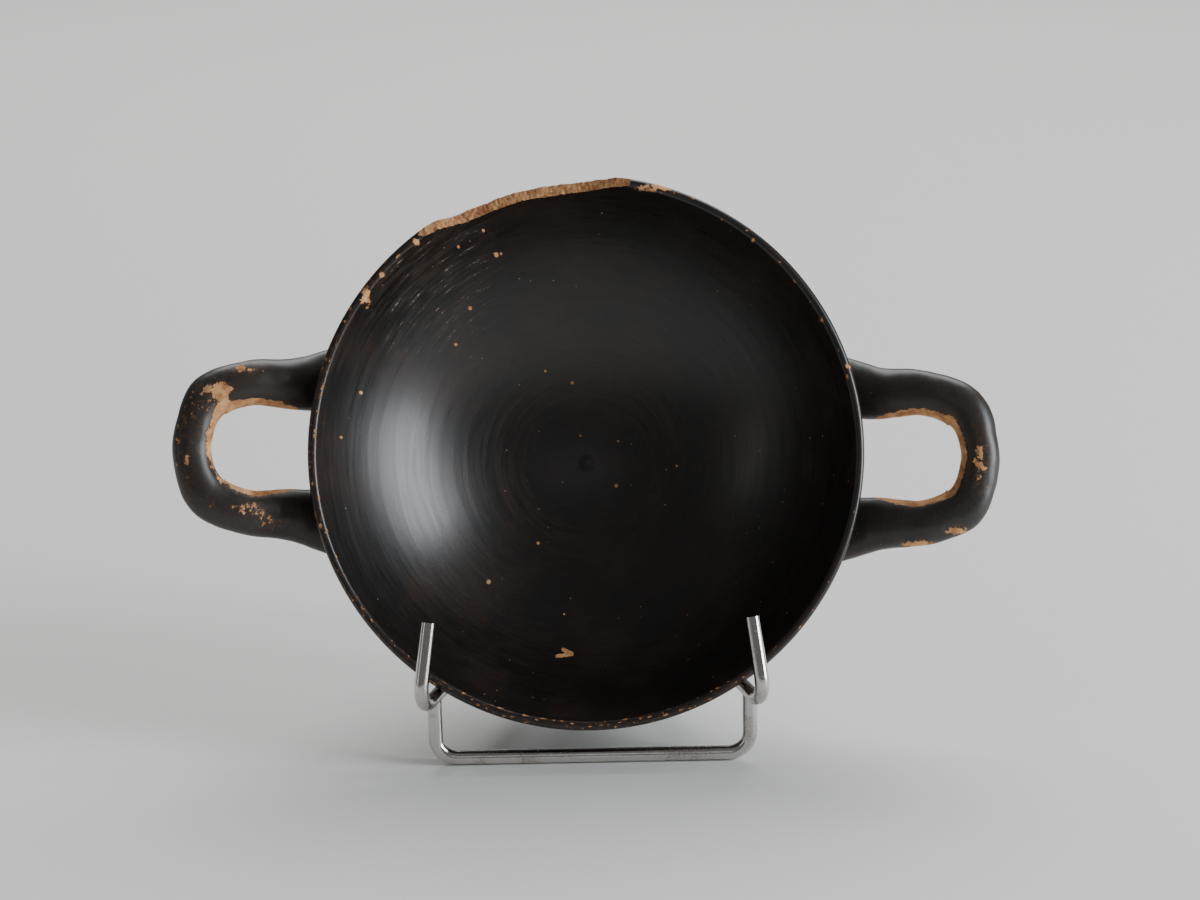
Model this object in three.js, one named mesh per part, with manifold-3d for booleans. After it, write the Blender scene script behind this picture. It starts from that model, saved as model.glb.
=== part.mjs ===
// A black-glazed stemless kylix, the two-handled Greek drinking cup, leaning in a bent-wire display stand.
// Millimetres, +Z up. The mouth faces -Y, the handles lie along X and the stand rests on z = 0.
// The origin is the bottom centre of the box round the whole object.
import * as THREE from "three";
import { mergeVertices } from "three/addons/utils/BufferGeometryUtils.js";
import Module from "manifold-3d";

const manifold = await Module();
manifold.setup();

// The cup, standing upright in its own frame: z = 0 is the face of the foot.
const RIM_RADIUS = 77.4;
const CUP_HEIGHT = 58;
const LIP = 1.35; // radius of the rounded lip
const OUTER_BOTTOM = 9.6; // height of the lowest point of the bowl's outside, above the foot's face
const INNER_BOTTOM = 13.9;
const NIPPLE = { radius: 2.6, rise: 0.9 }; // the potter's nipple in the middle of the floor, and under it
const FOOT = { torusCentre: 32.4, torusRadius: 3.8, insideTop: 27, insideBottom: 30.2 };
const FOOT_JOIN_DEG = 26; // where the foot's hollow moulding runs into the bowl
const TURNS = 66; // flats round the cup

// The handles: loops that leave the wall below the rim and rise to about its level.
const HANDLE = {
  end: 109.6, // centre line, from the cup's axis
  halfSpan: 18.1, // of the two branches
  corner: 14.5, // radius of the loop's corners
  rootHalfSpan: 20.3,
  rootX: 71.5,
  rootZ: 41.5,
  endZ: 54.5,
  thickness: 9.6,
};
const HANDLE_WIDTH = { root: 19.5, branch: 12.8, end: 11 };
const ROOT_SUNK = 25; // length of a handle's end inside the wall, before it is trimmed
const ROOT_SHARE = 0.27; // that length, as a share of half a handle
const ROOT_FLARE = 0.42; // the share of half a handle over which its root narrows
const HANDLE_STEPS = 38;
const HANDLE_SIDES = 12;
const WALL_TRIM = 1.2; // how far outside the bowl's inner face the handle roots stop, within the wall

// The lost flake of the lip: degrees from its middle, and depth below the rim.
const BREAK_MIDDLE_DEG = 106;
const CUTTER_OVER = 6; // how far the tool that cuts the break stands over the lip, and outside it
const CUTTER_REACH = 30;
const BREAK_LINE = [
  [-24.5, 0],
  [-22, 1.3],
  [-18.5, 2.7],
  [-13.5, 4.2],
  [-8, 4.8],
  [2, 4.6],
  [8.5, 4.9],
  [12.5, 4.5],
  [15.5, 3],
  [18, 1],
  [20, 0],
];

// How the cup leans in the stand.
const LEAN_DEG = 20.6; // of the mouth from upright
const CUP_TURN_DEG = -2; // about its own axis
const RIM_CENTRE = new THREE.Vector3(-0.4, 21.6, 83.9); // y from the front foot's bar

// The stand: four-millimetre wire.
const WIRE = 2; // radius
const WIRE_SIDES = 12;
const BEND = 6; // radius of the wire's bends, on its centre line
const BEND_STEPS = 6;
const GAP = 0.3; // left at each weld and contact
const HOOK_TIP = new THREE.Vector3(44.1, -5.1, 43.6);
const HOOK_BEND = new THREE.Vector3(47.4, -12.6, 19.8);
const ARM_BACK_Z = 23.2;
const BACK_X = 22;
const BACK_TOP = 44; // above the cup's axis, along the lean
const FRONT_X = 43.6;
const FRONT_TOP = 17.4; // where the front foot ends under the arms
const REAR_WELD = 19.3; // above the cup's axis, along the lean
const REAR_X = 30;
const REAR_Y = 112;

const lean = THREE.MathUtils.degToRad(LEAN_DEG);
const up = new THREE.Vector3(0, Math.sin(lean), Math.cos(lean)); // along the rim's plane
const back = new THREE.Vector3(0, Math.cos(lean), -Math.sin(lean)); // along the cup's axis, to the foot

/** Points of an arc in a profile. Angles are in degrees from straight down, and grow outwards and up. */
function arc(r, z, radius, from, to, steps) {
  return Array.from({ length: steps + 1 }, (_, i) => {
    const a = THREE.MathUtils.degToRad(from + ((to - from) * i) / steps);
    return new THREE.Vector2(r + radius * Math.sin(a), z - radius * Math.cos(a));
  });
}

/** The ball that touches the lip's round (side 1 outside, -1 inside) and bottoms out at `bottom`. */
function bowlBall(bottom, side) {
  const lipCentre = RIM_RADIUS - LIP;
  const rise = CUP_HEIGHT - LIP - bottom;
  const radius = (lipCentre ** 2 + rise ** 2 - LIP ** 2) / (2 * (rise - side * LIP));
  const lipDeg = THREE.MathUtils.radToDeg(Math.asin(lipCentre / (radius - side * LIP)));
  return { radius, z: bottom + radius, lipDeg };
}

const outerBall = bowlBall(OUTER_BOTTOM, 1);
const innerBall = bowlBall(INNER_BOTTOM, -1);

function cupProfile() {
  const { torusCentre, torusRadius, insideTop, insideBottom } = FOOT;
  const joint = arc(0, outerBall.z, outerBall.radius, FOOT_JOIN_DEG, FOOT_JOIN_DEG, 1)[0];
  const waist = new THREE.Vector2(torusCentre - 0.2, 2 * torusRadius + 0.5);
  const pull = new THREE.Vector2(waist.x - 1, joint.y - 3.5);
  const hollow = new THREE.QuadraticBezierCurve(waist, pull, joint);
  const lipZ = CUP_HEIGHT - LIP;
  return [
    new THREE.Vector2(0, OUTER_BOTTOM - NIPPLE.rise),
    new THREE.Vector2(NIPPLE.radius, OUTER_BOTTOM),
    new THREE.Vector2(insideTop - 2, OUTER_BOTTOM - 0.6),
    new THREE.Vector2(insideTop, OUTER_BOTTOM - 2),
    new THREE.Vector2(insideBottom, 0),
    ...arc(torusCentre, torusRadius, torusRadius, 0, 150, 5),
    ...hollow.getPoints(3),
    ...arc(0, outerBall.z, outerBall.radius, FOOT_JOIN_DEG + 4, outerBall.lipDeg, 7),
    ...arc(RIM_RADIUS - LIP, lipZ, LIP, outerBall.lipDeg + 30, 180 + innerBall.lipDeg, 4),
    ...arc(0, innerBall.z, innerBall.radius, innerBall.lipDeg - 4, 4, 9),
    new THREE.Vector2(NIPPLE.radius, INNER_BOTTOM),
    new THREE.Vector2(0, INNER_BOTTOM + NIPPLE.rise),
  ];
}

/** A closed solid along a path. `section(t)` gives its width, across the path along `side`, and height. */
function sweep(path, side, sides, section) {
  const corners = [];
  const across = side.clone();
  const turn = new THREE.Quaternion();
  let before = null;
  path.forEach((point, i) => {
    const along = new THREE.Vector3();
    if (i > 0) along.add(point.clone().sub(path[i - 1]).normalize());
    if (i < path.length - 1) along.add(path[i + 1].clone().sub(point).normalize());
    along.normalize();
    if (before) across.applyQuaternion(turn.setFromUnitVectors(before, along));
    across.addScaledVector(along, -across.dot(along)).normalize();
    before = along;
    const other = along.clone().cross(across);
    const { width, height } = section(i / (path.length - 1));
    for (let k = 0; k < sides; k += 1) {
      const a = ((k + 0.5) / sides) * 2 * Math.PI;
      const corner = point.clone().addScaledVector(across, (width / 2) * Math.cos(a));
      corners.push(corner.addScaledVector(other, (height / 2) * Math.sin(a)));
    }
  });
  const first = corners.push(path[0]) - 1;
  const last = corners.push(path[path.length - 1]) - 1;
  const end = (path.length - 1) * sides;
  const faces = [];
  for (let k = 0; k < sides; k += 1) {
    const next = (k + 1) % sides;
    faces.push(first, next, k, last, end + k, end + next);
    for (let row = 0; row < end; row += sides) {
      faces.push(row + k, row + next, row + sides + k);
      faces.push(row + next, row + sides + next, row + sides + k);
    }
  }
  const geometry = new THREE.BufferGeometry().setFromPoints(corners);
  geometry.setIndex(faces);
  return geometry;
}

/** Straight runs between corners, with every inner corner bent to `radius`. */
function bentPath(corners, radius, steps) {
  const path = [corners[0].clone()];
  for (let i = 1; i < corners.length - 1; i += 1) {
    const before = corners[i].clone().sub(corners[i - 1]).normalize();
    const after = corners[i + 1].clone().sub(corners[i]).normalize();
    const turn = before.angleTo(after);
    const start = corners[i].clone().addScaledVector(before, -radius * Math.tan(turn / 2));
    const inward = after.clone().sub(before).normalize();
    const centre = corners[i].clone().addScaledVector(inward, radius / Math.cos(turn / 2));
    const axis = before.clone().cross(after).normalize();
    for (let k = 0; k <= steps; k += 1) {
      const arm = start.clone().sub(centre).applyAxisAngle(axis, (turn * k) / steps);
      path.push(arm.add(centre));
    }
  }
  path.push(corners[corners.length - 1].clone());
  return path;
}

function wire(corners, side) {
  const across = (2 * WIRE) / Math.cos(Math.PI / WIRE_SIDES); // so that the flats are WIRE from the middle
  const path = bentPath(corners, BEND, BEND_STEPS);
  return sweep(path, side, WIRE_SIDES, () => ({ width: across, height: across }));
}

/** The same corners on the other side of x = 0, in the order that carries the wire on. */
function withMirror(corners) {
  const mirrored = corners.map((p) => new THREE.Vector3(-p.x, p.y, p.z)).reverse();
  return [...corners, ...mirrored];
}

/** One handle, on the side that `sign` gives, with its ends inside the bowl. */
function handleGeometry(sign) {
  const { end, halfSpan, corner, rootHalfSpan, rootX, rootZ, endZ, thickness } = HANDLE;
  const bendX = end - corner;
  const half = [
    new THREE.Vector3(rootX - ROOT_SUNK, rootHalfSpan + 3, rootZ - 6),
    new THREE.Vector3(rootX, rootHalfSpan, rootZ),
    new THREE.Vector3(rootX + 10, halfSpan + 0.4, rootZ + 4),
    new THREE.Vector3(bendX, halfSpan, rootZ + 9.5),
    new THREE.Vector3(bendX + corner * 0.74, halfSpan - corner * 0.27, endZ - 1),
    new THREE.Vector3(end, halfSpan - corner, endZ),
  ];
  const other = half.map((p) => new THREE.Vector3(p.x, -p.y, p.z)).reverse();
  const points = [...half, ...other].map((p) => new THREE.Vector3(sign * p.x, p.y, p.z));
  const path = new THREE.CatmullRomCurve3(points, false, "centripetal").getSpacedPoints(HANDLE_STEPS);
  const width = (t) => {
    const fromRoot = Math.min(t, 1 - t) * 2;
    const flare = Math.min(1, Math.max(0, 1 - (fromRoot - ROOT_SHARE) / ROOT_FLARE)) ** 1.6;
    const toEnd = THREE.MathUtils.smoothstep(fromRoot, 0.6, 0.93);
    const plain = THREE.MathUtils.lerp(HANDLE_WIDTH.branch, HANDLE_WIDTH.end, toEnd);
    return plain + (HANDLE_WIDTH.root - HANDLE_WIDTH.branch) * flare;
  };
  const side = new THREE.Vector3(0, sign, 0);
  return sweep(path, side, HANDLE_SIDES, (t) => ({ width: width(t), height: thickness }));
}

/** A wedge over the lip whose lower edge is the broken edge, set square to the wall. */
function breakGeometry() {
  const across = (deg) => RIM_RADIUS * Math.sin(THREE.MathUtils.degToRad(deg));
  const line = BREAK_LINE.map(([deg, depth]) => new THREE.Vector2(-across(deg), CUP_HEIGHT + 0.05 - depth));
  const above = CUP_HEIGHT + CUTTER_OVER;
  const shape = new THREE.Shape([
    ...line,
    new THREE.Vector2(line[line.length - 1].x, above),
    new THREE.Vector2(line[0].x, above),
  ]);
  const wedge = new THREE.ExtrudeGeometry(shape, { depth: CUTTER_REACH, bevelEnabled: false });
  wedge.rotateX(Math.PI / 2);
  wedge.translate(0, RIM_RADIUS + CUTTER_OVER, 0);
  return wedge.rotateZ(THREE.MathUtils.degToRad(BREAK_MIDDLE_DEG - 90));
}

function toSolid(geometry) {
  const bare = geometry.clone();
  bare.deleteAttribute("normal");
  bare.deleteAttribute("uv");
  const merged = mergeVertices(bare, 1e-3);
  const vertProperties = new Float32Array(merged.attributes.position.array);
  const triVerts = new Uint32Array(merged.index.array);
  return new manifold.Manifold(new manifold.Mesh({ numProp: 3, vertProperties, triVerts }));
}

function toGeometry(solid) {
  const { vertProperties, triVerts } = solid.getMesh();
  const geometry = new THREE.BufferGeometry();
  geometry.setAttribute("position", new THREE.BufferAttribute(vertProperties, 3));
  geometry.setIndex(new THREE.BufferAttribute(triVerts, 1));
  return geometry;
}

function kylixGeometry() {
  const body = toSolid(new THREE.LatheGeometry(cupProfile(), TURNS).rotateX(Math.PI / 2));
  const trim = new THREE.SphereGeometry(innerBall.radius + WALL_TRIM, 64, 48).translate(0, 0, innerBall.z);
  const hollow = toSolid(trim);
  const left = toSolid(handleGeometry(-1)).subtract(hollow);
  const right = toSolid(handleGeometry(1)).subtract(hollow);
  return toGeometry(body.add(left).add(right).subtract(toSolid(breakGeometry())));
}

/** A point of the back's wires: across x, `above` the cup's axis and `behind` the rim's plane. */
function onBack(x, above, behind) {
  return RIM_CENTRE.clone().setX(x).addScaledVector(up, above).addScaledVector(back, behind);
}

// The face of the foot leans on the back's wires.
const backBehind = CUP_HEIGHT + WIRE / Math.cos(Math.PI / WIRE_SIDES) + GAP;

function cradleWire() {
  const axisPoint = onBack(BACK_X, 0, backBehind);
  const drop = (axisPoint.z - ARM_BACK_Z) / up.z;
  const backFoot = onBack(BACK_X, -drop, backBehind);
  const backHead = onBack(BACK_X, BACK_TOP, backBehind);
  return wire(withMirror([HOOK_TIP, HOOK_BEND, backFoot, backHead]), new THREE.Vector3(1, 0, 0));
}

function frontFootWire() {
  const corners = [new THREE.Vector3(FRONT_X, 0, FRONT_TOP), new THREE.Vector3(FRONT_X, 0, WIRE)];
  return wire(withMirror(corners), new THREE.Vector3(0, 1, 0));
}

function rearLegWire() {
  const standOff = 2 * WIRE + GAP;
  const top = onBack(BACK_X, REAR_WELD, backBehind + standOff);
  const bottom = new THREE.Vector3(REAR_X, REAR_Y, WIRE);
  const slope = Math.atan2(bottom.y - top.y, top.z - bottom.z);
  const down = bottom.clone().sub(top).normalize();
  const normal = new THREE.Vector3(0, Math.cos(slope), Math.sin(slope));
  const inPlane = down.clone().cross(normal);
  // The flats are turned so that one of them lies on the floor.
  const side = normal.multiplyScalar(Math.cos(slope)).addScaledVector(inPlane, Math.sin(slope));
  return wire(withMirror([top, bottom]), side);
}

const glaze = new THREE.MeshStandardMaterial({ color: 0x17151a, roughness: 0.32, metalness: 0 });
const chrome = new THREE.MeshStandardMaterial({ color: 0xb4b6b8, roughness: 0.2, metalness: 1 });

function named(name, geometry, material) {
  const mesh = new THREE.Mesh(geometry, material);
  mesh.name = name;
  return mesh;
}

const kylix = named("kylix", kylixGeometry(), glaze);
kylix.rotation.z = THREE.MathUtils.degToRad(CUP_TURN_DEG);

const leaningCup = new THREE.Group();
leaningCup.add(kylix);
leaningCup.position.copy(RIM_CENTRE).addScaledVector(back, CUP_HEIGHT);
leaningCup.rotation.x = Math.PI / 2 - lean;

const object = new THREE.Group();
object.add(leaningCup);
object.add(named("cradle_wire", cradleWire(), chrome));
object.add(named("front_foot_wire", frontFootWire(), chrome));
object.add(named("rear_leg_wire", rearLegWire(), chrome));
object.updateMatrixWorld(true);

const box = new THREE.Box3().setFromObject(object, true);
const centre = box.getCenter(new THREE.Vector3());
object.position.set(-centre.x, -centre.y, -box.min.z);
object.updateMatrixWorld(true);

export default object;
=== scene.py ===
import math
import random

import bmesh
import bpy
import numpy as np
from mathutils import Matrix, Vector, noise


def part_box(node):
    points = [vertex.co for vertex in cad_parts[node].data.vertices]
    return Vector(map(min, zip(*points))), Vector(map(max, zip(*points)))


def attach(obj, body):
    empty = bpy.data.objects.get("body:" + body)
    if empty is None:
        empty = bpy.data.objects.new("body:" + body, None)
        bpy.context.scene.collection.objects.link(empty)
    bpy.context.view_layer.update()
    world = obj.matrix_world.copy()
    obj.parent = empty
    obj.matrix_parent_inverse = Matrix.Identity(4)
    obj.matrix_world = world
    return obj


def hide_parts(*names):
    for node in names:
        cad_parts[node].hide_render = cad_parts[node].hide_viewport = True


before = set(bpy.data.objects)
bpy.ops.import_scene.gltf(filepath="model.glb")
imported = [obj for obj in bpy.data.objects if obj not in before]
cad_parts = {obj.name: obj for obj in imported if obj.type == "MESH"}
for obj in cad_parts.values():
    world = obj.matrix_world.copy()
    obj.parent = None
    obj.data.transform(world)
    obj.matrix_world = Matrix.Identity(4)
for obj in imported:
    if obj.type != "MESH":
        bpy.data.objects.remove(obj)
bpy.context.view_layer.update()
MM = 0.001

# ---- The camera -----------------------------------------------------------------------------------------
# Looks a little down into the mouth of the cup from straight in front, held about a degree off level.
# Its place is taken from the middle of the bar that the stand rests on in front.
CAMERA_FROM_BAR = Vector((3.5, -752, 305.8)) * MM
CAMERA_DOWN_DEG = 16
CAMERA_ROLL_DEG = -1.1
LENS = 87

bar_low, bar_high = (Vector(corner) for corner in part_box("front_foot_wire"))
bar = Vector(((bar_low.x + bar_high.x) / 2, (bar_low.y + bar_high.y) / 2, bar_low.z))
camera = bpy.data.objects.new("camera", bpy.data.cameras.new("camera"))
camera.data.lens = LENS
camera.matrix_world = (
    Matrix.Translation(bar + CAMERA_FROM_BAR)
    @ Matrix.Rotation(math.radians(90 - CAMERA_DOWN_DEG), 4, "X")
    @ Matrix.Rotation(math.radians(CAMERA_ROLL_DEG), 4, "Z")
)
bpy.context.scene.collection.objects.link(camera)
bpy.context.scene.camera = camera

# ---- The bowl and its foot ------------------------------------------------------------------------------
# One piece of thrown and turned clay: a shallow bowl with a rounded lip on a low ring foot. It is shaped
# upright, with the face of the foot at z = 0, and put in its leaning place when it is whole.
RIM_RADIUS = 77.4 * MM
CUP_HEIGHT = 58 * MM
LIP = 1.35 * MM
OUTER_BOTTOM = 9.6 * MM
INNER_BOTTOM = 13.9 * MM
NIPPLE = 2.6 * MM
NIPPLE_RISE = 0.9 * MM
INNER_RISE = 0.4 * MM
FOOT_RING = 32.4 * MM
FOOT_ROUND = 3.8 * MM
FOOT_INSIDE_TOP = 27 * MM
FOOT_INSIDE_BOTTOM = 30.2 * MM
FOOT_JOIN_DEG = 26
FOOT_RIDGES = (9 * MM, 16 * MM, 22.5 * MM)
BALL_TO_NIPPLE_DEG = 2.2
TURNS = 288
WHEEL_RIDGE = 0.012 * MM
WHEEL_RIDGE_EVERY = 4.3 * MM
WHEEL_DRIFT = 1.7
WHEEL_DRIFT_EVERY = 9 * MM


def deselect_all():
    for thing in bpy.context.selected_objects:
        thing.select_set(False)


def select_only(thing):
    deselect_all()
    thing.select_set(True)
    bpy.context.view_layer.objects.active = thing


def arc(r, z, radius, start, end, steps):
    """Points of an arc in a profile. Angles are in degrees from straight down, and grow outwards and up."""
    angles = np.radians(np.linspace(start, end, steps + 1))
    return [(r + radius * math.sin(a), z - radius * math.cos(a)) for a in angles]


def bowl_ball(bottom, side):
    """Radius, height and lip angle of the ball that meets the lip's round and bottoms out at `bottom`."""
    lip_centre = RIM_RADIUS - LIP
    rise = CUP_HEIGHT - LIP - bottom
    radius = (lip_centre**2 + rise**2 - LIP**2) / (2 * (rise - side * LIP))
    return radius, bottom + radius, math.degrees(math.asin(lip_centre / (radius - side * LIP)))


OUTER_BALL, OUTER_Z, OUTER_LIP_DEG = bowl_ball(OUTER_BOTTOM, 1)
INNER_BALL, INNER_Z, INNER_LIP_DEG = bowl_ball(INNER_BOTTOM, -1)


def cup_profile():
    """The half section of the bowl and foot, from the axis underneath round the lip to the axis inside."""
    join = arc(0, OUTER_Z, OUTER_BALL, FOOT_JOIN_DEG, FOOT_JOIN_DEG, 1)[0]
    waist = Vector((FOOT_RING - 0.2 * MM, 2 * FOOT_ROUND + 0.5 * MM))
    pull = Vector((waist.x - 1 * MM, join[1] - 3.5 * MM))
    hollow = []
    for t in np.linspace(0, 1, 8):
        hollow.append((1 - t) ** 2 * waist + 2 * t * (1 - t) * pull + t * t * Vector(join))
    recess = OUTER_BOTTOM - 0.6 * MM
    under = [(0, OUTER_BOTTOM - NIPPLE_RISE), (NIPPLE * 0.5, OUTER_BOTTOM - NIPPLE_RISE * 0.6)]
    under += [(NIPPLE, OUTER_BOTTOM - 0.1 * MM)]
    for ring in FOOT_RIDGES:
        under += [(ring - 0.5 * MM, recess + 0.15 * MM), (ring, recess + 0.4 * MM), (ring + 0.5 * MM, recess)]
    under += [(FOOT_INSIDE_TOP - 2 * MM, recess), (FOOT_INSIDE_TOP - 0.8 * MM, recess - 0.4 * MM)]
    under += [(FOOT_INSIDE_TOP, OUTER_BOTTOM - 2 * MM), (FOOT_INSIDE_BOTTOM - 1 * MM, 2.2 * MM)]
    under += [(FOOT_INSIDE_BOTTOM, 0.3 * MM), (FOOT_INSIDE_BOTTOM + 0.5 * MM, 0)]
    lip_at = RIM_RADIUS - LIP, CUP_HEIGHT - LIP
    inner = []
    for r, z in arc(0, INNER_Z, INNER_BALL, INNER_LIP_DEG, BALL_TO_NIPPLE_DEG, 66)[1:]:
        drift = WHEEL_DRIFT * math.sin(r / WHEEL_DRIFT_EVERY)
        ridge = WHEEL_RIDGE * math.sin(2 * math.pi * r / WHEEL_RIDGE_EVERY + drift)
        inner.append((r, z + ridge))
    return (
        under
        + arc(FOOT_RING, FOOT_ROUND, FOOT_ROUND, 0, 150, 14)
        + [tuple(p) for p in hollow]
        + arc(0, OUTER_Z, OUTER_BALL, FOOT_JOIN_DEG, OUTER_LIP_DEG, 40)[1:]
        + arc(*lip_at, LIP, OUTER_LIP_DEG, 180 + INNER_LIP_DEG, 16)[1:]
        + inner
        + [(NIPPLE * 0.9, INNER_BOTTOM + INNER_RISE * 0.25), (NIPPLE * 0.5, INNER_BOTTOM + INNER_RISE * 0.7)]
        + [(NIPPLE * 0.2, INNER_BOTTOM + INNER_RISE * 0.95), (0, INNER_BOTTOM + INNER_RISE)]
    )


def turned(name, profile):
    """Draws a profile by extruding one point along it, and spins it round the z axis."""
    deselect_all()
    bpy.ops.mesh.primitive_plane_add(size=MM)
    body = bpy.context.object
    body.name = name
    bpy.ops.object.mode_set(mode="EDIT")
    bpy.ops.mesh.merge(type="CENTER")
    here = Vector((0, 0, 0))
    for index, (r, z) in enumerate(profile):
        there = Vector((r, 0, z))
        if index:
            bpy.ops.mesh.extrude_region_move(TRANSFORM_OT_translate={"value": there - here})
        else:
            bpy.ops.transform.translate(value=there - here)
        here = there
    bpy.ops.mesh.select_all(action="SELECT")
    bpy.ops.mesh.spin(steps=TURNS, angle=2 * math.pi, center=(0, 0, 0), axis=(0, 0, 1))
    bpy.ops.mesh.select_all(action="SELECT")
    bpy.ops.mesh.remove_doubles(threshold=2e-6)
    bpy.ops.mesh.normals_make_consistent(inside=False)
    bpy.ops.object.mode_set(mode="OBJECT")
    return body


kylix = turned("kylix_pottery", cup_profile())

# ---- The two handles ------------------------------------------------------------------------------------
# Rolled clay loops, a little wider than they are thick, pressed on to the wall below the rim while it
# was leather-hard. They rise outwards to the level of the rim, and their roots spread on the wall.
HANDLE_END = 109.6 * MM
HALF_SPAN = 18.1 * MM
CORNER = 14.5 * MM
ROOT_HALF_SPAN = 20.3 * MM
ROOT_X = 71.5 * MM
ROOT_Z = 41.5 * MM
END_Z = 54.5 * MM
THICKNESS = 9.6 * MM
ROOT_WIDTH = 19.5 * MM
BRANCH_WIDTH = 12.8 * MM
END_WIDTH = 11 * MM
ROOT_SUNK = 25 * MM
ROOT_SHARE = 0.27
ROOT_FLARE = 0.42
ROOT_FLARE_POWER = 1.6
NARROWS_FROM = 0.6
NARROWS_TO = 0.93
WALL_TRIM = 1.2 * MM
HANDLE_RINGS = 150
HANDLE_SIDES = 48
HAND_SHAPED = 0.22 * MM
HAND_WAVES = (7 * MM, 3 * MM)
HAND_SUNK = 0.6
CORNER_FILL = 1.5 * MM
CORNER_AT = 0.8
CORNER_SPREAD = 0.09


def smooth_step(value, low, high):
    t = np.clip((value - low) / (high - low), 0, 1)
    return t * t * (3 - 2 * t)


def smooth_path(points, count):
    """Evenly spaced points on the centripetal Catmull-Rom curve through `points`."""
    ends = [2 * points[0] - points[1], *points, 2 * points[-1] - points[-2]]
    fine = []
    for p0, p1, p2, p3 in zip(ends, ends[1:], ends[2:], ends[3:]):
        d0, d1, d2 = (math.sqrt((b - a).length) for a, b in ((p0, p1), (p1, p2), (p2, p3)))
        leave = ((p1 - p0) / d0 - (p2 - p0) / (d0 + d1) + (p2 - p1) / d1) * d1
        arrive = ((p2 - p1) / d1 - (p3 - p1) / (d1 + d2) + (p3 - p2) / d2) * d1
        for t in np.linspace(0, 1, 60, endpoint=False):
            curve = p1 + leave * t + (3 * (p2 - p1) - 2 * leave - arrive) * t**2
            fine.append(curve + (2 * (p1 - p2) + leave + arrive) * t**3)
    fine.append(points[-1])
    run = np.cumsum([0] + [(b - a).length for a, b in zip(fine, fine[1:])])
    even = np.linspace(0, run[-1], count)
    columns = [np.interp(even, run, [p[k] for p in fine]) for k in range(3)]
    return [Vector(p) for p in zip(*columns)]


def handle_path(sign):
    """The middle of the loop, from inside the wall, out round its end and back into the wall."""
    bend_x = HANDLE_END - CORNER
    half = [
        (ROOT_X - ROOT_SUNK, ROOT_HALF_SPAN + 3 * MM, ROOT_Z - 6 * MM),
        (ROOT_X, ROOT_HALF_SPAN, ROOT_Z),
        (ROOT_X + 10 * MM, HALF_SPAN + 0.4 * MM, ROOT_Z + 4 * MM),
        (bend_x, HALF_SPAN, ROOT_Z + 9.5 * MM),
        (bend_x + CORNER * 0.74, HALF_SPAN - CORNER * 0.27, END_Z - 1 * MM),
        (HANDLE_END, HALF_SPAN - CORNER, END_Z),
    ]
    other = [(x, -y, z) for x, y, z in reversed(half)]
    return smooth_path([Vector((sign * x, y, z)) for x, y, z in half + other], HANDLE_RINGS)


def handle_width(t):
    """Width at a share of the loop: widest at the roots, narrowest at the end."""
    from_root = 2 * min(t, 1 - t)
    flare = min(1, max(0, 1 - (from_root - ROOT_SHARE) / ROOT_FLARE)) ** ROOT_FLARE_POWER
    plain = BRANCH_WIDTH + (END_WIDTH - BRANCH_WIDTH) * smooth_step(from_root, NARROWS_FROM, NARROWS_TO)
    return plain + (ROOT_WIDTH - BRANCH_WIDTH) * flare


def add_handle(name, sign):
    """A disc extruded ring by ring along the loop, thicker inwards where the hole has its corners."""
    path = handle_path(sign)
    deselect_all()
    bpy.ops.mesh.primitive_circle_add(vertices=HANDLE_SIDES, radius=0.5, fill_type="NGON")
    handle = bpy.context.object
    handle.name = name
    bpy.ops.object.mode_set(mode="EDIT")
    across = Vector((0, sign, 0))
    before = None
    placed = Matrix.Identity(4)
    for i, point in enumerate(path):
        along = (path[min(i + 1, len(path) - 1)] - path[max(i - 1, 0)]).normalized()
        if before:
            across = before.rotation_difference(along) @ across
        across = (across - along * across.dot(along)).normalized()
        before = along
        t = i / (len(path) - 1)
        fill = CORNER_FILL * math.exp(-(((2 * min(t, 1 - t) - CORNER_AT) / CORNER_SPREAD) ** 2))
        width = handle_width(t) + fill
        columns = [across * width, along.cross(across) * THICKNESS, along]
        ring = Matrix.Translation(point - sign * across * fill / 2) @ Matrix(columns).transposed().to_4x4()
        if i:
            bpy.ops.mesh.extrude_region_move()
        mesh = bmesh.from_edit_mesh(handle.data)
        chosen = [v for v in mesh.verts if v.select]
        bmesh.ops.transform(mesh, matrix=ring @ placed.inverted(), verts=chosen)
        bmesh.update_edit_mesh(handle.data)
        placed = ring
    bpy.ops.mesh.select_all(action="SELECT")
    bpy.ops.mesh.normals_make_consistent(inside=False)
    bpy.ops.object.mode_set(mode="OBJECT")
    for vertex in handle.data.vertices:
        swell = noise.noise(vertex.co / HAND_WAVES[0]) + 0.5 * noise.noise(vertex.co / HAND_WAVES[1])
        vertex.co += vertex.normal * HAND_SHAPED * (swell - HAND_SUNK)
    return handle


def cut(body, tool, operation):
    """Joins a tool to the body or cuts it away, and removes the tool."""
    step = body.modifiers.new(operation, "BOOLEAN")
    step.operation = operation
    step.solver = "EXACT"
    step.object = tool
    bpy.context.view_layer.objects.active = body
    bpy.ops.object.modifier_apply(modifier=step.name)
    bpy.data.objects.remove(tool)


for side_name, sign in (("left_handle", -1), ("right_handle", 1)):
    loop = add_handle(side_name, sign)
    deselect_all()
    bpy.ops.mesh.primitive_uv_sphere_add(
        segments=128, ring_count=96, radius=INNER_BALL + WALL_TRIM, location=(0, 0, INNER_Z)
    )
    cut(loop, bpy.context.object, "DIFFERENCE")
    cut(kylix, loop, "UNION")

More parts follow.
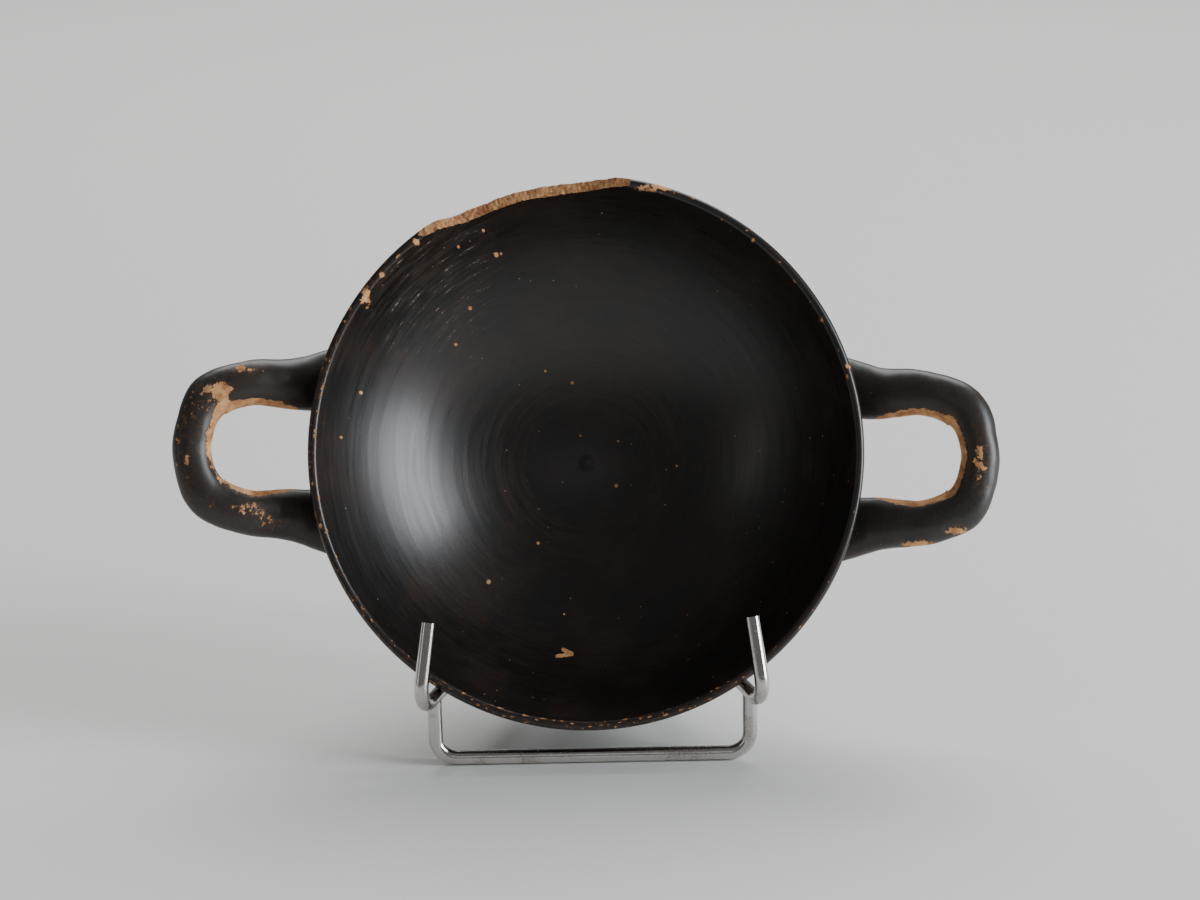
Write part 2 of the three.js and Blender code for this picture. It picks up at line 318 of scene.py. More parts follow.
# The joins of the handles are wiped smooth with a wet finger.
WIPED = 3.2 * MM
LIP_KEPT = 3 * MM
HALF_WALL = 1.5 * MM
points = np.array([v.co for v in kylix.data.vertices])
from_ball = np.linalg.norm(points - (0, 0, OUTER_Z), axis=1) - OUTER_BALL
axes = np.array([p for sign in (-1, 1) for p in handle_path(sign)])
from_axis = np.array([np.linalg.norm(axes - p, axis=1).min() for p in points])
near_handle = 1 - smooth_step(from_axis, ROOT_WIDTH * 0.5, ROOT_WIDTH * 0.5 + WIPED)
near_wall = (1 - smooth_step(np.abs(from_ball), WIPED * 0.5, WIPED)) * (points[:, 2] < CUP_HEIGHT - LIP_KEPT)
outside = np.linalg.norm(points - (0, 0, INNER_Z), axis=1) > INNER_BALL + HALF_WALL
wiped = kylix.vertex_groups.new(name="wiped")
for index, weight in enumerate(near_handle * near_wall * outside):
    if weight > 0:
        wiped.add([index], weight, "REPLACE")
wipe = kylix.modifiers.new("wipe", "SMOOTH")
wipe.factor = 0.5
wipe.iterations = 14
wipe.vertex_group = "wiped"
bpy.context.view_layer.objects.active = kylix
bpy.ops.object.modifier_apply(modifier="wipe")

# ---- The broken lip and the chips -----------------------------------------------------------------------
# A long flake is lost from the upper lip, and small chips from the rest. The fresh breaks show the
# orange clay, in grains, across the thickness of the wall.
BREAK_MIDDLE_DEG = 106
BREAK_DEG = [-24.5, -22, -18.5, -13.5, -8, 2, 8.5, 12.5, 15.5, 18, 20.5, 22.8]
BREAK_DEPTH = [0, 1.3, 2.7, 4.2, 4.8, 4.6, 4.9, 4.5, 3.2, 1.7, 0.9, 0]
BREAK_REACH = 9 * MM
BREAK_GRAIN = 0.34 * MM
BREAK_GRAINS = (1.1 * MM, 0.5 * MM)
BREAK_WAVES = 4.5 * MM
BREAK_SLOPE = 0.22
BREAKER_FROM_DEG = -26.5
BREAKER_SPAN_DEG = 51
BREAKER_WIDTH = 1.6
BREAKER_HEIGHT = 9 * MM
CLEAR_OF_LIP = -1.2
CHIP_SEED = 11
CHIP_RANGES = (  # first and last degree round the lip, how many, and radius in mm
    (236, 306, 44, 0.45),
    (132, 232, 26, 0.38),
    (308, 352, 8, 0.32),
    (8, 76, 12, 0.36),
)
CHIP_SIZES = (0.6, 1.5)
CHIP_LEANS_DEG = (-50, -20, 10, 35)
CHIP_STANDS_OUT = (0.45, 0.7)
CHIP_STRETCH = (0, 1.6)
CHIP_GRAIN = 0.4 * MM

deselect_all()
bpy.ops.mesh.primitive_grid_add(x_subdivisions=260, y_subdivisions=26, size=2)
breaker = bpy.context.object
for vertex in breaker.data.vertices:
    deg = BREAKER_FROM_DEG + (vertex.co.x + 1) / 2 * BREAKER_SPAN_DEG
    r = RIM_RADIUS - BREAK_REACH + (vertex.co.y + 1) / 2 * BREAK_REACH * BREAKER_WIDTH
    depth = np.interp(deg, BREAK_DEG, BREAK_DEPTH, left=CLEAR_OF_LIP, right=CLEAR_OF_LIP) * MM
    angle = math.radians(BREAK_MIDDLE_DEG + deg)
    place = Vector((r * math.cos(angle), r * math.sin(angle), 0))
    grain = noise.noise(place / BREAK_GRAINS[0]) + 0.6 * noise.noise(place / BREAK_GRAINS[1])
    waves = noise.noise(place / BREAK_WAVES) * 1.2
    tilt = (RIM_RADIUS - 2 * MM - r) * BREAK_SLOPE
    vertex.co = place + Vector((0, 0, CUP_HEIGHT - depth + (grain + waves) * BREAK_GRAIN + tilt))
bpy.ops.object.mode_set(mode="EDIT")
bpy.ops.mesh.select_all(action="SELECT")
bpy.ops.mesh.extrude_region_move(TRANSFORM_OT_translate={"value": (0, 0, BREAKER_HEIGHT)})
bpy.ops.mesh.select_all(action="SELECT")
bpy.ops.mesh.normals_make_consistent(inside=False)
bpy.ops.object.mode_set(mode="OBJECT")

chip_dice = random.Random(CHIP_SEED)
chippers = []
for first, last, count, size in CHIP_RANGES:
    for i in range(count):
        deg = first + (last - first) * (i + chip_dice.uniform(0.15, 0.85)) / count
        radius = size * chip_dice.uniform(*CHIP_SIZES) * MM
        lean = math.radians(chip_dice.choice(CHIP_LEANS_DEG))
        out = LIP + radius * chip_dice.uniform(*CHIP_STANDS_OUT)
        r = RIM_RADIUS - LIP + math.sin(lean) * out
        z = CUP_HEIGHT - LIP + math.cos(lean) * out
        at = (r * math.cos(math.radians(deg)), r * math.sin(math.radians(deg)), z)
        deselect_all()
        bpy.ops.mesh.primitive_ico_sphere_add(subdivisions=2, radius=radius, location=at)
        chipper = bpy.context.object
        bpy.ops.object.transform_apply(location=True)
        along = Vector((-at[1], at[0], 0)).normalized()
        stretch = chip_dice.uniform(*CHIP_STRETCH)
        for vertex in chipper.data.vertices:
            away = (vertex.co - Vector(at)) * (0.85 + 0.6 * noise.noise(vertex.co / CHIP_GRAIN))
            vertex.co = Vector(at) + away + along * away.dot(along) * stretch
        chippers.append(chipper)
deselect_all()
for chipper in chippers:
    chipper.select_set(True)
bpy.context.view_layer.objects.active = breaker
breaker.select_set(True)
bpy.ops.object.join()

# ---- The glaze and the clay -----------------------------------------------------------------------------
# A thin black slip, fired to a soft gloss, over orange clay. The wheel has left fine rings in it, it has
# pinholes, scratches and rubbed places, and it was kept off the inner faces of the handles.

# Across, up, half width, half height in mm, and strength, as seen from the mouth. Where the strength is
# below zero, the glaze laps over the bare inner face of the handle.
WORN_PLACES = (
    (-100.6, 9.5, 2.4, 7, 0.6),
    (-102, 15.5, 4, 1.8, 0.36),
    (-96.5, 21.6, 5, 1.9, 0.5),
    (-110.5, -4, 0.9, 2.6, 0.28),
    (-102, -6, 5.5, 8, -0.45),
    (-94, -17, 6, 2.5, 0.44),
    (-86, -21, 9, 3.5, 0.39),
    (-84, 18, 9, 6, 0.1),
    (109.5, -1, 2.6, 10, 0.36),
    (103.5, -20.5, 4.5, 1.7, 0.6),
    (92, -24.4, 9, 1.5, 0.66),
    (79, -18.5, 1.2, 1.2, 0.5),
    (82, 22, 6, 3, 0.16),
    (-61.8, 41.4, 1.2, 3.2, 0.62),
    (-57.6, 47.4, 0.9, 1.8, 0.5),
    (-48.2, 57.6, 1.6, 1.6, 0.5),
    (45.9, 59.5, 0.9, 0.9, 0.5),
    (65.2, 37.4, 0.9, 0.9, 0.5),
    (72.6, 24.5, 1.2, 1.5, 0.5),
    (19, 74, 8, 1.6, 0.5),
)
PINHOLES = (  # across, up and radius in mm, on the bowl's floor and inner wall
    (-26.5, 56.9, 0.8), (-25.2, 57.3, 0.5), (-30, 62.6, 0.5), (-37, 58, 0.5), (-34.1, 42.5, 0.65),
    (-38.2, 32.3, 0.55), (-4.6, 23, 0.6), (-12.5, 26.2, 0.4), (-2, 7.8, 0.4), (9, 6.4, 0.45),
    (8.7, -6.7, 0.65), (-27.5, -35.8, 0.75), (-13.7, -24, 0.6), (26.2, -0.9, 0.4), (-64, 16.5, 0.55),
    (-68.9, 3.4, 0.5), (-5.7, -44.7, 0.4),
)
FLAKE_TIP = (-3.2, -56.1)
FLAKE_ENDS = ((-5.7, -55.0), (-7.4, -56.9))
FLAKE_WIDTH = 0.58
SCUFFS_AT = (-48, 49)
SCUFFS_REACH = 27
EDGE_TORN = 1.15
RUBBED_FROM = 0.22
BARE_FROM = 0.46
BARE_TO = 0.5
SPECK_SIZE = 0.075
CLAY_DARK = (0.34, 0.130, 0.045, 1)
CLAY_LIGHT = (0.72, 0.395, 0.17, 1)
CLAY_BROWN = (0.20, 0.075, 0.028, 1)
GLAZE_BLACK = (0.0062, 0.0052, 0.0046, 1)
GLAZE_GREY = (0.0200, 0.0192, 0.0160, 1)
GLAZE_BROWN = (0.0240, 0.0125, 0.0080, 1)
RUBBED_GLAZE = (0.10, 0.040, 0.017, 1)
SCUFF = (0.36, 0.30, 0.24, 1)


class Nodes:
    """A material's nodes. Each call adds one node and returns its first output."""

    def __init__(self, name):
        self.material = bpy.data.materials.new(name)
        self.material.use_nodes = True
        self.tree = self.material.node_tree
        self.shader = self.tree.nodes["Principled BSDF"]

    def node(self, kind, sockets, output=0, **settings):
        made = self.tree.nodes.new("ShaderNode" + kind)
        for name, value in settings.items():
            setattr(made, name, value)
        for key, value in sockets.items():
            self.put(made.inputs[key], value)
        return made.outputs[output]

    def put(self, socket, value):
        if isinstance(value, bpy.types.NodeSocket):
            self.tree.links.new(value, socket)
        else:
            socket.default_value = value

    def math(self, operation, *values):
        return self.node("Math", dict(enumerate(values)), operation=operation)

    def vector(self, operation, *values, output=0):
        return self.node("VectorMath", dict(enumerate(values)), output, operation=operation)

    def noise(self, at, scale, detail=3, roughness=0.55):
        sockets = {"Vector": at, "Scale": scale, "Detail": detail, "Roughness": roughness}
        return self.node("TexNoise", sockets)

    def ramp(self, value, low, high, to_low=0.0, to_high=1.0):
        sockets = {0: value, 1: low, 2: high, 3: to_low, 4: to_high}
        return self.node("MapRange", sockets, interpolation_type="SMOOTHSTEP")

    def mix(self, factor, first, second):
        return self.node("Mix", {0: factor, 6: first, 7: second}, 2, data_type="RGBA")

    def number(self, name):
        return self.node("Attribute", {}, 2, attribute_name=name)

    def finish(self, colour, roughness, bumps):
        """Joins up the shader. `bumps` are pairs of a height from 0 to 1 and its depth in metres."""
        self.put(self.shader.inputs["Base Color"], colour)
        self.put(self.shader.inputs["Roughness"], roughness)
        normal = None
        for height, depth in bumps:
            sockets = {"Height": height, "Distance": depth, "Strength": 1.0}
            if normal:
                sockets["Normal"] = normal
            normal = self.node("Bump", sockets)
        if normal:
            self.put(self.shader.inputs["Normal"], normal)


# Where the finished cup leans in the stand, which the finish also needs, to be drawn on the upright cup.
LEAN_BACK_DEG = 20.6
TURNED_DEG = -2
RIM_FROM_BAR = Vector((-0.4, 21.6, 83.9)) * MM

leaning = math.radians(LEAN_BACK_DEG)
lean_up = Vector((0, math.sin(leaning), math.cos(leaning)))
lean_back = Vector((0, math.cos(leaning), -math.sin(leaning)))
cup_place = (
    Matrix.Translation(bar + RIM_FROM_BAR + lean_back * CUP_HEIGHT)
    @ Matrix.Rotation(math.pi / 2 - leaning, 4, "X")
    @ Matrix.Rotation(math.radians(TURNED_DEG), 4, "Z")
)


def clay_colour(nodes, at):
    """The clay's colour, and the grain that can roughen it too."""
    broad = nodes.noise(at, 0.35, 3)
    grain = nodes.noise(at, 3.2, 4, 0.7)
    tone = nodes.math("ADD", nodes.math("MULTIPLY", broad, 0.6), nodes.math("MULTIPLY", grain, 0.4))
    return nodes.mix(nodes.ramp(tone, 0.36, 0.64), CLAY_DARK, CLAY_LIGHT), grain


def cup_millimetres(nodes):
    """The shaded point in the upright cup's own millimetres."""
    object_point = nodes.node("TexCoord", {}, 3)
    sockets = {"Vector": object_point, "Location": cup_place.translation, "Rotation": cup_place.to_euler()}
    upright = nodes.node("Mapping", sockets, vector_type="TEXTURE")
    return nodes.node("VectorMath", {0: upright, 3: 1 / MM}, operation="SCALE")


def black_glaze():
    nodes = Nodes("black_glaze_finish")
    at = cup_millimetres(nodes)
    flat = nodes.vector("MULTIPLY", at, (1, 1, 0))
    radius = nodes.vector("LENGTH", flat, output=1)
    heading = nodes.vector("NORMALIZE", flat)
    inside = nodes.number("inside")

    def wheel(ring_scale, turn_scale, detail):
        turned_at = nodes.node("VectorMath", {0: heading, 3: turn_scale}, operation="SCALE")
        out = nodes.node("CombineXYZ", {2: nodes.math("MULTIPLY", radius, ring_scale)})
        return nodes.noise(nodes.vector("ADD", turned_at, out), 1.0, detail)

    broad_rings = wheel(0.16, 0.5, 2)
    rings = wheel(0.8, 1.3, 3)
    fine_rings = wheel(3.6, 3.0, 2)
    cloud = nodes.noise(at, 0.045, 4)
    mottle = nodes.noise(at, 0.9, 5, 0.65)

    # The colour: black, browner in rings round the floor and in clouds, greyer on the handles.
    floor_ring = nodes.math("MULTIPLY", nodes.ramp(radius, 14, 21), nodes.ramp(radius, 34, 26))
    brown = nodes.math("MULTIPLY", floor_ring, nodes.ramp(rings, 0.4, 0.68, 0.1, 0.9))
    brown = nodes.math("MAXIMUM", brown, nodes.ramp(cloud, 0.42, 0.68, 0.0, 0.8))
    smoked = nodes.math("MULTIPLY", nodes.number("handled"), nodes.ramp(nodes.noise(at, 0.16, 3), 0.48, 0.7))
    brown = nodes.math("MAXIMUM", brown, smoked)
    brown = nodes.math("MULTIPLY", brown, nodes.ramp(mottle, 0.3, 0.65, 0.55, 1.0))
    greyed = nodes.math("MULTIPLY", nodes.number("handled"), nodes.ramp(mottle, 0.3, 0.6, 0.35, 1.0))
    colour = nodes.mix(brown, nodes.mix(greyed, GLAZE_BLACK, GLAZE_GREY), GLAZE_BROWN)

    # Where the clay shows: rubbed places, reserved faces, pinholes, faint specks and one flake.
    wear = nodes.number("wear")
    edge = nodes.math("SUBTRACT", nodes.noise(at, 0.55, 6, 0.68), 0.5)
    torn = nodes.math("ADD", wear, nodes.math("MULTIPLY", edge, EDGE_TORN))
    bare = nodes.ramp(torn, BARE_FROM, BARE_TO)
    rubbed = nodes.ramp(torn, RUBBED_FROM, BARE_TO, 0.0, 0.75)
    cells = nodes.tree.nodes.new("ShaderNodeTexVoronoi")
    nodes.put(cells.inputs["Vector"], at)
    cells.inputs["Scale"].default_value = 0.3
    picked = nodes.node("SeparateColor", {0: cells.outputs["Color"]})
    size = nodes.ramp(picked, 0.35, 1.0, 0.0, SPECK_SIZE)
    specks = nodes.math("LESS_THAN", cells.outputs["Distance"], size)
    pin = None
    for across, up, pin_radius in PINHOLES:
        away = nodes.vector("DISTANCE", flat, (across, up, 0), output=1)
        away = nodes.math("ADD", away, nodes.math("MULTIPLY", edge, 0.5))
        hole = nodes.ramp(away, pin_radius, pin_radius * 0.55)
        pin = nodes.math("MAXIMUM", pin, hole) if pin else hole
    for end in FLAKE_ENDS:
        run = Vector((end[0] - FLAKE_TIP[0], end[1] - FLAKE_TIP[1], 0))
        from_tip = nodes.vector("SUBTRACT", flat, (*FLAKE_TIP, 0))
        share = nodes.math("DIVIDE", nodes.vector("DOT_PRODUCT", from_tip, run, output=1), run.length_squared)
        share = nodes.node("Clamp", {0: share})
        on_run = nodes.node("VectorMath", {0: run, 3: share}, operation="SCALE")
        away = nodes.vector("DISTANCE", from_tip, on_run, output=1)
        away = nodes.math("ADD", away, nodes.math("MULTIPLY", edge, 0.8))
        pin = nodes.math("MAXIMUM", pin, nodes.ramp(away, FLAKE_WIDTH * 1.1, FLAKE_WIDTH * 0.8))
    pin = nodes.math("MULTIPLY", pin, inside)
    faint = nodes.math("MULTIPLY", specks, 0.55)
    shown = nodes.math("MAXIMUM", bare, nodes.math("MAXIMUM", pin, faint))
    clay = clay_colour(nodes, at)[0]
    rubbed = nodes.math("MULTIPLY", rubbed, nodes.ramp(mottle, 0.42, 0.6))
    colour = nodes.mix(rubbed, colour, RUBBED_GLAZE)
    colour = nodes.mix(shown, colour, clay)

    # Scratches along short arcs, thickest near the upper left of the lip, greyish and duller.
    arcs = nodes.node("VectorMath", {0: heading, 3: 7.0}, operation="SCALE")
    arcs = nodes.vector("ADD", arcs, nodes.node("CombineXYZ", {2: nodes.math("MULTIPLY", radius, 1.5)}))
    stroke = nodes.noise(arcs, 1.0, 4, 0.6)
    from_scuffs = nodes.vector("DISTANCE", flat, (*SCUFFS_AT, 0), output=1)
    scuffs = nodes.math("MULTIPLY", nodes.ramp(from_scuffs, SCUFFS_REACH, 4), inside)
    pale = nodes.math("MULTIPLY", nodes.ramp(stroke, 0.60, 0.66), nodes.ramp(mottle, 0.5, 0.62))
    colour = nodes.mix(nodes.math("MULTIPLY", pale, scuffs), colour, SCUFF)
    hazy = nodes.math("MULTIPLY", nodes.ramp(stroke, 0.4, 0.7), nodes.math("ADD", scuffs, 0.25))
    colour = nodes.mix(nodes.math("MULTIPLY", hazy, 0.05), colour, SCUFF)
    scuffed = nodes.math("MULTIPLY", hazy, inside)

    roughness = nodes.ramp(rings, 0.25, 0.75, 0.27, 0.33)
    roughness = nodes.math("ADD", roughness, nodes.ramp(fine_rings, 0.3, 0.8, -0.01, 0.03))
    roughness = nodes.math("ADD", roughness, nodes.math("MULTIPLY", scuffed, 0.08))
    roughness = nodes.math("ADD", roughness, nodes.math("MULTIPLY", nodes.number("handled"), 0.08))
    roughness = nodes.math("ADD", roughness, nodes.math("MULTIPLY", shown, 0.5))
    dents = nodes.ramp(nodes.math("ADD", bare, pin), 0.0, 1.0, 1.0, 0.0)
    bumps = [(broad_rings, 0.06 * MM), (rings, 0.014 * MM), (fine_rings, 0.003 * MM), (mottle, 0.012 * MM)]
    nodes.finish(colour, roughness, bumps + [(dents, 0.08 * MM)])
    nodes.shader.inputs["Specular IOR Level"].default_value = 0.5
    return nodes.material


def fresh_clay():
    nodes = Nodes("broken_clay")
    at = cup_millimetres(nodes)
    clay, grain = clay_colour(nodes, at)
    core = nodes.noise(at, 1.3, 5, 0.7)
    colour = nodes.mix(nodes.ramp(core, 0.44, 0.68, 0.1, 0.75), clay, CLAY_BROWN)
    nodes.finish(colour, 0.9, [(core, 0.25 * MM), (grain, 0.12 * MM)])
    return nodes.material


glaze_material = black_glaze()
clay_material = fresh_clay()
for thing in (kylix, breaker):
    thing.data.materials.clear()
    thing.data.materials.append(glaze_material)
    thing.data.materials.append(clay_material)
for face in breaker.data.polygons:
    face.material_index = 1
cut(kylix, breaker, "DIFFERENCE")

# The glaze wears first on the lip, on the foot and where the handles are held.
WORN_FRONT_FROM = CUP_HEIGHT - 12 * MM
WORN_FRONT_TO = CUP_HEIGHT - 5 * MM
LIP_WEAR = 0.12
LEFT_LIP_WEAR = 0.2
FOOT_WEAR = 0.85
HANDLE_WEAR = 0.03
HANDLE_BARE = 0.85
HANDLE_FROM_X = 66 * MM
HANDLE_FROM_Z = 34 * MM
HANDLE_REACH = 9.5 * MM
LOOP_MIDDLE_X = 90 * MM
LOOP_MIDDLE_Z = 50 * MM
INSIDE_SKIN = 0.3 * MM
CUP_CREASE_DEG = 38

points = np.array([v.co for v in kylix.data.vertices])
turn = np.degrees(np.arctan2(points[:, 1], points[:, 0])) % 360
inside = np.abs(np.linalg.norm(points - (0, 0, INNER_Z), axis=1) - INNER_BALL) < INSIDE_SKIN
wear = np.zeros(len(points))
for across, up, half_width, half_height, strength in WORN_PLACES:
    near = ((points[:, 0] / MM - across) / half_width) ** 2 + ((points[:, 1] / MM - up) / half_height) ** 2
    front = smooth_step(points[:, 2], WORN_FRONT_FROM, WORN_FRONT_TO)
    wear += strength * np.exp(-near) * front
lip_top = smooth_step(points[:, 2], CUP_HEIGHT - 1.6 * MM, CUP_HEIGHT - 0.3 * MM)
left_side = smooth_step(turn, 120, 150) * (1 - smooth_step(turn, 290, 330))
wear += lip_top * (LIP_WEAR + LEFT_LIP_WEAR * left_side)
foot_face = 1 - smooth_step(points[:, 2], 0.2 * MM, 1.2 * MM)
wear += foot_face * FOOT_WEAR
handled = np.zeros(len(points))
for sign in (-1, 1):
    path = np.array(handle_path(sign))
    loop_middle = np.array((sign * LOOP_MIDDLE_X, 0, LOOP_MIDDLE_Z))
    beside = (sign * points[:, 0] > HANDLE_FROM_X) & (points[:, 2] > HANDLE_FROM_Z)
    for index in np.nonzero(beside)[0]:
        point = points[index]
        gaps = np.linalg.norm(path - point, axis=1)
        nearest = path[gaps.argmin()]
        if gaps.min() > HANDLE_REACH:
            continue
        off_wall = np.linalg.norm(point - (0, 0, OUTER_Z)) - OUTER_BALL
        handled[index] = smooth_step(off_wall, 1 * MM, 5 * MM)
        inward = loop_middle - nearest
        inward[2] = 0
        inward /= np.linalg.norm(inward)
        facing = np.dot(point - nearest, inward) / max(gaps.min(), 1e-6)
        wear[index] += (HANDLE_WEAR + HANDLE_BARE * smooth_step(facing, 0.74, 0.97)) * handled[index]
for name, values in (("inside", inside), ("wear", wear), ("handled", handled)):
    layer = kylix.data.attributes.new(name, "FLOAT", "POINT")
    layer.data.foreach_set("value", np.asarray(values, dtype=np.float32))

kylix.data.transform(cup_place)
kylix.data.update()
select_only(kylix)
bpy.ops.object.shade_smooth_by_angle(angle=math.radians(CUP_CREASE_DEG))
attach(kylix, "root")
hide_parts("kylix")

# ---- The wire stand -------------------------------------------------------------------------------------
# Four-millimetre steel wire, bent cold and bright plated: the cradle whose hooks hold the lip and whose
# back the foot leans on, the front foot under its arms and the leg behind, soldered on at four places.
WIRE = 2 * MM
BEND = 6 * MM
HOOK_TIP = Vector((44.1, -5.1, 43.6)) * MM
HOOK_BEND = Vector((47.4, -12.6, 19.8)) * MM
ARM_BACK_Z = 23.2 * MM
BACK_X = 22 * MM
BACK_TOP = 44 * MM
FRONT_X = 43.6 * MM
FRONT_TOP = 18.9 * MM
REAR_WELD = 19.3 * MM
REAR_X = 30 * MM
REAR_Y = 112 * MM
GAP = 0.3 * MM
SOLID_WIRE_SIDES = 12
BACK_BEHIND = CUP_HEIGHT + WIRE / math.cos(math.pi / SOLID_WIRE_SIDES) + GAP
CUT_END = 0.22 * MM
WIRE_CREASE_DEG = 40
FRONT_BEAD = (2.12 * MM, 2.12 * MM, 0.9 * MM)
FRONT_BEAD_OUT = 0.2 * MM
REAR_BEAD = (1.3 * MM, 1.6 * MM, 3.4 * MM)
REAR_BEAD_DOWN = 3 * MM
BEAD_LUMP = 0.06
BEAD_LUMPS_EVERY = 1.1 * MM
PLATING_BRIGHT = (0.60, 0.585, 0.565, 1)
PLATING_DULL = (0.36, 0.33, 0.30, 1)
PLATING_SPOT = (0.12, 0.09, 0.065, 1)


def bent_path(corners, steps=16):
    """Straight runs between corners, with every inner corner bent to the wire's bend."""
    path = [corners[0]]
    for last, corner, following in zip(corners, corners[1:], corners[2:]):
        come = (corner - last).normalized()
        leave = (following - corner).normalized()
        turn_by = come.angle(leave)
        start = corner - come * BEND * math.tan(turn_by / 2)
        centre = corner + (leave - come).normalized() * BEND / math.cos(turn_by / 2)
        axis = come.cross(leave).normalized()
        for k in range(steps + 1):
            path.append(centre + Matrix.Rotation(turn_by * k / steps, 3, axis) @ (start - centre))
    return path + [corners[-1]]


def with_mirror(corners):
    return corners + [Vector((-p.x, p.y, p.z)) for p in reversed(corners)]


def on_back(x, above, behind):
    """A point of the back's wires: across, above the cup's axis and behind the rim's plane."""
    place = RIM_FROM_BAR + lean_up * above + lean_back * behind
    return Vector((x, place.y, place.z))


def bend_wire(name, corners):
    """A round wire along a bent path, with its ends cut flat and their burr taken off."""
    line = bpy.data.curves.new(name, "CURVE")
    line.dimensions = "3D"
    path = bent_path(with_mirror(corners))
    spline = line.splines.new("POLY")
    spline.points.add(len(path) - 1)
    for point, place in zip(spline.points, path):
        point.co = (*(bar + place), 1)
    line.bevel_depth = WIRE
    line.bevel_resolution = 8
    line.use_fill_caps = True
    bent = bpy.data.objects.new(name, line)
    bpy.context.scene.collection.objects.link(bent)
    select_only(bent)
    bpy.ops.object.convert(target="MESH")
    bpy.ops.object.mode_set(mode="EDIT")
    bpy.ops.mesh.select_all(action="SELECT")
    bpy.ops.mesh.remove_doubles(threshold=1e-6)
    bpy.ops.mesh.normals_make_consistent(inside=False)
    mesh = bmesh.from_edit_mesh(bent.data)
    for edge in mesh.edges:
        edge.select_set(any(len(face.verts) > 8 for face in edge.link_faces))
    bmesh.update_edit_mesh(bent.data)
    bpy.ops.mesh.bevel(offset=CUT_END, segments=2)
    bpy.ops.object.mode_set(mode="OBJECT")
    return bpy.context.object


def weld_bead(name, place, size):
    """A small run of solder round a joint. The place is measured from the middle of the front bar."""
    deselect_all()
    bpy.ops.mesh.primitive_uv_sphere_add(segments=32, ring_count=20, radius=1)
    bead = bpy.context.object
    bead.name = name
    bead.scale = size
    bead.location = bar + place
    bpy.ops.object.transform_apply(location=True, scale=True)
    for vertex in bead.data.vertices:
        vertex.co += vertex.normal * BEAD_LUMP * MM * noise.noise(vertex.co / BEAD_LUMPS_EVERY)
    bpy.ops.object.shade_smooth()
    return bead


def plated_wire():
    nodes = Nodes("bright_plating")
    object_point = nodes.node("TexCoord", {}, 3)
    at = nodes.node("VectorMath", {0: object_point, 3: 1 / MM}, operation="SCALE")
    patches = nodes.noise(at, 0.12, 4, 0.6)
    pits = nodes.noise(at, 2.6, 5, 0.7)
    drawn = nodes.noise(nodes.vector("MULTIPLY", at, (0.25, 3, 3)), 0.9, 3)
    dull = nodes.math("MULTIPLY", nodes.ramp(patches, 0.48, 0.66), nodes.ramp(pits, 0.4, 0.6))
    colour = nodes.mix(dull, PLATING_BRIGHT, PLATING_DULL)
    spots = nodes.ramp(pits, 0.64, 0.7, 0.0, 0.8)
    colour = nodes.mix(spots, colour, PLATING_SPOT)
    roughness = nodes.math("ADD", nodes.ramp(dull, 0.0, 1.0, 0.11, 0.36), nodes.math("MULTIPLY", spots, 0.3))
    nodes.finish(colour, roughness, [(drawn, 0.012 * MM), (pits, 0.025 * MM)])
    nodes.shader.inputs["Metallic"].default_value = 1.0
    return nodes.material


plating = plated_wire()
drop = (on_back(BACK_X, 0, BACK_BEHIND).z - ARM_BACK_Z) / lean_up.z
back_corners = [on_back(BACK_X, -drop, BACK_BEHIND), on_back(BACK_X, BACK_TOP, BACK_BEHIND)]
front_corners = [Vector((FRONT_X, 0, FRONT_TOP)), Vector((FRONT_X, 0, WIRE))]
rear_corners = [on_back(BACK_X, REAR_WELD, BACK_BEHIND + 2 * WIRE + GAP), Vector((REAR_X, REAR_Y, WIRE))]
stand = {
    "cradle_wire": bend_wire("cradle_of_wire", [HOOK_TIP, HOOK_BEND, *back_corners]),
    "front_foot_wire": bend_wire("front_foot_of_wire", front_corners),
    "rear_leg_wire": bend_wire("rear_leg_of_wire", rear_corners),
}
for node_name, bent in stand.items():
    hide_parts(node_name)
behind = on_back(0, REAR_WELD - REAR_BEAD_DOWN, BACK_BEHIND + WIRE + GAP / 2)
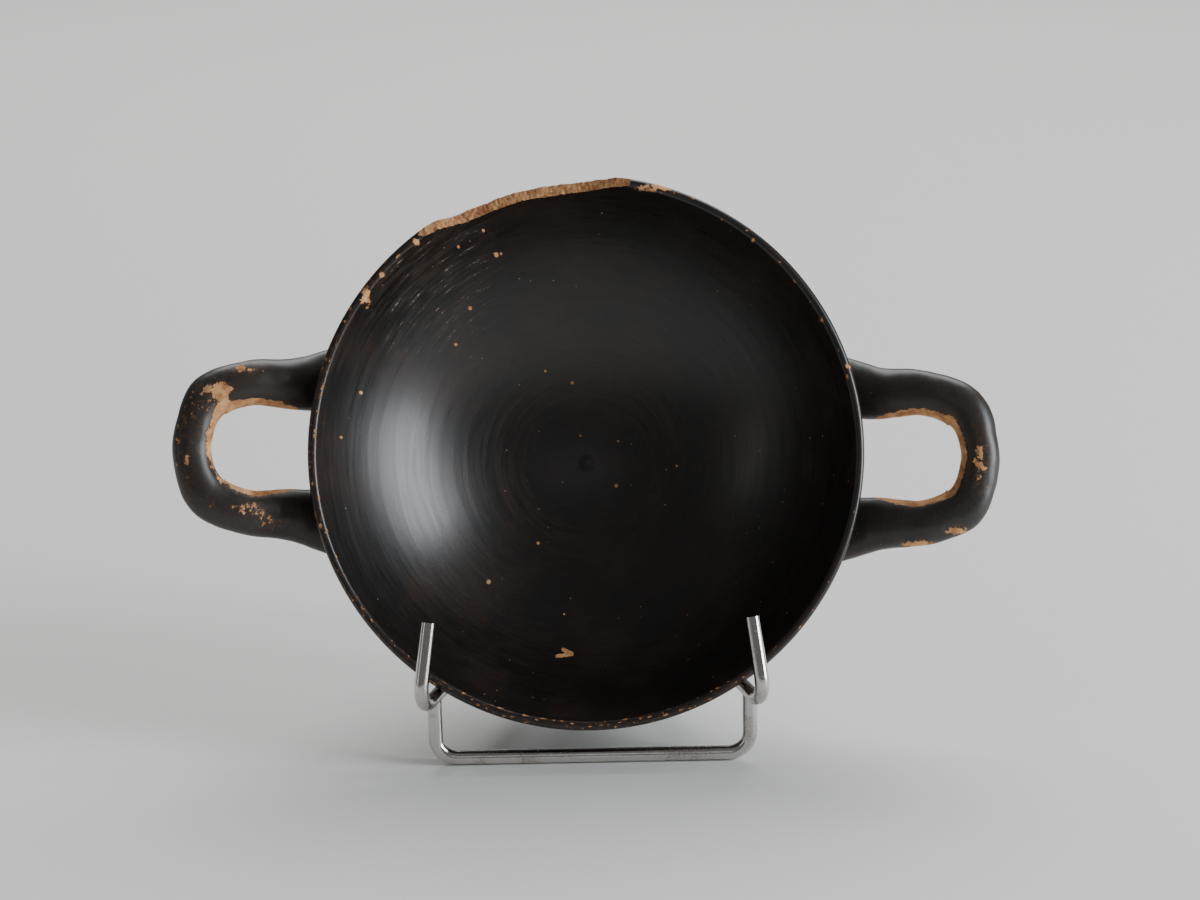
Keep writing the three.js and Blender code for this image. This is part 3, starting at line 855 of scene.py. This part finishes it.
for side_name, sign in (("left", -1), ("right", 1)):
    under_arm = Vector((sign * FRONT_X, FRONT_BEAD_OUT, FRONT_TOP - FRONT_BEAD[2]))
    on_wire = Vector((sign * BACK_X, behind.y, behind.z))
    for name, place, size in (
        (side_name + "_front_weld", under_arm, FRONT_BEAD),
        (side_name + "_rear_weld", on_wire, REAR_BEAD),
    ):
        stand[name] = weld_bead(name, place, size)
for piece in stand.values():
    piece.data.materials.clear()
    piece.data.materials.append(plating)
    select_only(piece)
    bpy.ops.object.shade_smooth_by_angle(angle=math.radians(WIRE_CREASE_DEG))
    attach(piece, "root")

# ---- The floor and the lights ---------------------------------------------------------------------------
# A plain pale floor. One tall soft light to the right, which the left of the bowl mirrors, faint ones to
# the left and in front, and a broad one above and behind for the floor.
FLOOR_SIZE = 9
FLOOR_COLOUR = (0.74, 0.73, 0.71, 1)
ROOM_COLOUR = (0.95, 0.95, 0.95, 1)
ROOM_LIGHT = 0.18


def soft_light(name, place, aim, width, height, watts, colour):
    lamp = bpy.data.lights.new(name, "AREA")
    lamp.shape = "RECTANGLE"
    lamp.size = width
    lamp.size_y = height
    lamp.energy = watts
    lamp.color = colour
    light = bpy.data.objects.new(name, lamp)
    light.location = place
    light.rotation_euler = (Vector(aim) - Vector(place)).to_track_quat("-Z", "Y").to_euler()
    bpy.context.scene.collection.objects.link(light)


deselect_all()
bpy.ops.mesh.primitive_plane_add(size=FLOOR_SIZE)
floor = bpy.context.object
floor.name = "floor"
floor_nodes = Nodes("pale_floor")
floor_nodes.finish(FLOOR_COLOUR, 0.6, [])
floor.data.materials.append(floor_nodes.material)

soft_light("window", (1.41, -0.44, 0.42), (0, 0, 0.07), 0.62, 1.2, 36, (0.90, 0.95, 1.0))
soft_light("left_fill", (-1.6, -0.7, 0.5), (0, 0, 0.07), 0.25, 0.8, 0.8, (1.0, 0.97, 0.93))
soft_light("front", (0.1, -1.75, 1.0), (0, 0, 0.08), 0.9, 0.5, 0.6, (0.93, 0.96, 1.0))
soft_light("above", (0.2, 1.5, 2.2), (0, 0.5, 0), 2.6, 1.6, 75, (0.98, 0.99, 1.0))
world = bpy.data.worlds.new("room")
world.use_nodes = True
room = world.node_tree.nodes["Background"]
room.inputs["Color"].default_value = ROOM_COLOUR
room.inputs["Strength"].default_value = ROOM_LIGHT
bpy.context.scene.world = world
